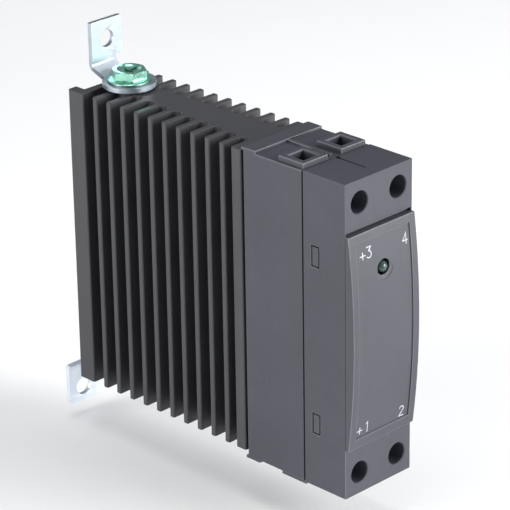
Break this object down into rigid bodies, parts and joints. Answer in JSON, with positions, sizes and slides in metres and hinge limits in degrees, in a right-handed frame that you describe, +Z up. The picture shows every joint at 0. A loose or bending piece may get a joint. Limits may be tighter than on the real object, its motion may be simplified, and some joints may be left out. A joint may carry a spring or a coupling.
{
  "type": "solid state relay",
  "caption": "Narrow rail-mounted solid state relay: finned black heatsink, terminal housing with four clamp screws, status light, earth bracket and sprung rail latch.",
  "frame": {"origin": "on the back face that rests against the mounting rail, at the middle of the rail and of the module's width", "axes": "+Z up along the heatsink fins, +Y out of the back towards the rail, -Y out of the terminal front, +X to the right seen from the front"},
  "size_m": [0.0226, 0.102, 0.1041],
  "materials": {
    "anodised_aluminium": "satin black anodised extrusion",
    "housing_plastic": "black moulded polyamide, fine spark-eroded texture",
    "lid_plastic": "black moulded polyamide, slightly smoother",
    "clip_plastic": "black glass-filled nylon",
    "zinc_plate": "bright zinc-plated steel sheet",
    "green_zinc": "green passivated zinc, glossy",
    "plain_steel": "nickel-plated steel",
    "spring_steel": "bright spring wire",
    "copper": "bare copper",
    "tinned_copper": "tin-plated copper",
    "ceramic": "white alumina",
    "silicon": "metallised silicon",
    "thermal_pad": "grey filled silicone",
    "circuit_board": "green solder mask",
    "component_body": "black epoxy",
    "resistor_body": "blue lacquer",
    "led_lens": "water-clear epoxy with a green cast",
    "capacitor_can": "bare aluminium can"
  },
  "bodies": {
    "root": {"heatsink": "anodised_aluminium", "rear_housing": "housing_plastic", "front_cover": "housing_plastic", "label_lid": "lid_plastic", "status_led": "led_lens", "led_spacer": "component_body", "optocoupler": "component_body", "gate_driver": "component_body", "clamp_diode": "component_body", "control_board": "circuit_board", "input_capacitor": "capacitor_can", "bleed_resistor": "resistor_body", "input_resistor": "resistor_body", "gate_resistor": "resistor_body", "heat_spreader": "copper", "busbar_1": "copper", "busbar_2": "copper", "thermal_pad": "thermal_pad", "ceramic_plate": "ceramic", "mosfet_die_1": "silicon", "mosfet_die_2": "silicon", "flyback_die": "silicon", "relay_screw_upper": "zinc_plate", "relay_screw_lower": "zinc_plate", "earth_bracket": "zinc_plate", "clip_screw_upper": "zinc_plate", "clip_screw_lower": "zinc_plate", "busbar_3": "tinned_copper", "busbar_4": "tinned_copper", "earth_tooth_washer": "plain_steel", "rail_clip_base": "clip_plastic", "latch_spring": "spring_steel"},
    "latch": {"rail_latch": "zinc_plate"},
    "earth_washer": {"earth_captive_washer": "zinc_plate"},
    "earth_screw": {"earth_screw": "green_zinc"},
    "clamp_screw_1": {"clamp_screw_1": "zinc_plate"},
    "clamp_cage_1": {"clamp_cage_1": "plain_steel"},
    "clamp_screw_2": {"clamp_screw_2": "zinc_plate"},
    "clamp_cage_2": {"clamp_cage_2": "plain_steel"},
    "clamp_screw_3": {"clamp_screw_3": "zinc_plate"},
    "clamp_cage_3": {"clamp_cage_3": "plain_steel"},
    "clamp_screw_4": {"clamp_screw_4": "zinc_plate"},
    "clamp_cage_4": {"clamp_cage_4": "plain_steel"}
  },
  "joints": [
    {"name": "clamp_1_turn", "type": "hinge", "parent": "root", "child": "clamp_screw_1", "pos_m": [-0.00645, -0.08445, -0.0344], "axis": [0, 1, 0], "range_deg": [0, 2058]},
    {"name": "clamp_1_close", "type": "slide", "parent": "root", "child": "clamp_cage_1", "axis": [0, -1, 0], "range_m": [0, 0.004]},
    {"name": "clamp_2_turn", "type": "hinge", "parent": "root", "child": "clamp_screw_2", "pos_m": [0.00645, -0.08445, -0.0344], "axis": [0, 1, 0], "range_deg": [0, 2058]},
    {"name": "clamp_2_close", "type": "slide", "parent": "root", "child": "clamp_cage_2", "axis": [0, -1, 0], "range_m": [0, 0.004]},
    {"name": "clamp_3_turn", "type": "hinge", "parent": "root", "child": "clamp_screw_3", "pos_m": [-0.00645, -0.08445, 0.0344], "axis": [0, 1, 0], "range_deg": [0, 2058]},
    {"name": "clamp_3_close", "type": "slide", "parent": "root", "child": "clamp_cage_3", "axis": [0, -1, 0], "range_m": [0, 0.004]},
    {"name": "clamp_4_turn", "type": "hinge", "parent": "root", "child": "clamp_screw_4", "pos_m": [0.00645, -0.08445, 0.0344], "axis": [0, 1, 0], "range_deg": [0, 2058]},
    {"name": "clamp_4_close", "type": "slide", "parent": "root", "child": "clamp_cage_4", "axis": [0, -1, 0], "range_m": [0, 0.004]},
    {"name": "earth_screw_lift", "type": "slide", "parent": "root", "child": "earth_washer", "axis": [0, 0, 1], "range_m": [0, 0.005]},
    {"name": "earth_screw_turn", "type": "hinge", "parent": "earth_washer", "child": "earth_screw", "pos_m": [0, -0.01015, 0.042], "axis": [0, 0, 1], "range_deg": [0, 2251]},
    {"name": "latch_release", "type": "slide", "parent": "root", "child": "latch", "axis": [0, 0, -1], "range_m": [0, 0.003], "stiffness_N_per_m": 2000, "springref_m": -0.004, "deforming": ["latch_spring"]}
  ],
  "couplings": [
    {"joint": "clamp_1_turn", "follows": "clamp_1_close", "rad_per_m": 8976},
    {"joint": "clamp_2_turn", "follows": "clamp_2_close", "rad_per_m": 8976},
    {"joint": "clamp_3_turn", "follows": "clamp_3_close", "rad_per_m": 8976},
    {"joint": "clamp_4_turn", "follows": "clamp_4_close", "rad_per_m": 8976},
    {"joint": "earth_screw_turn", "follows": "earth_screw_lift", "rad_per_m": 7854}
  ]
}
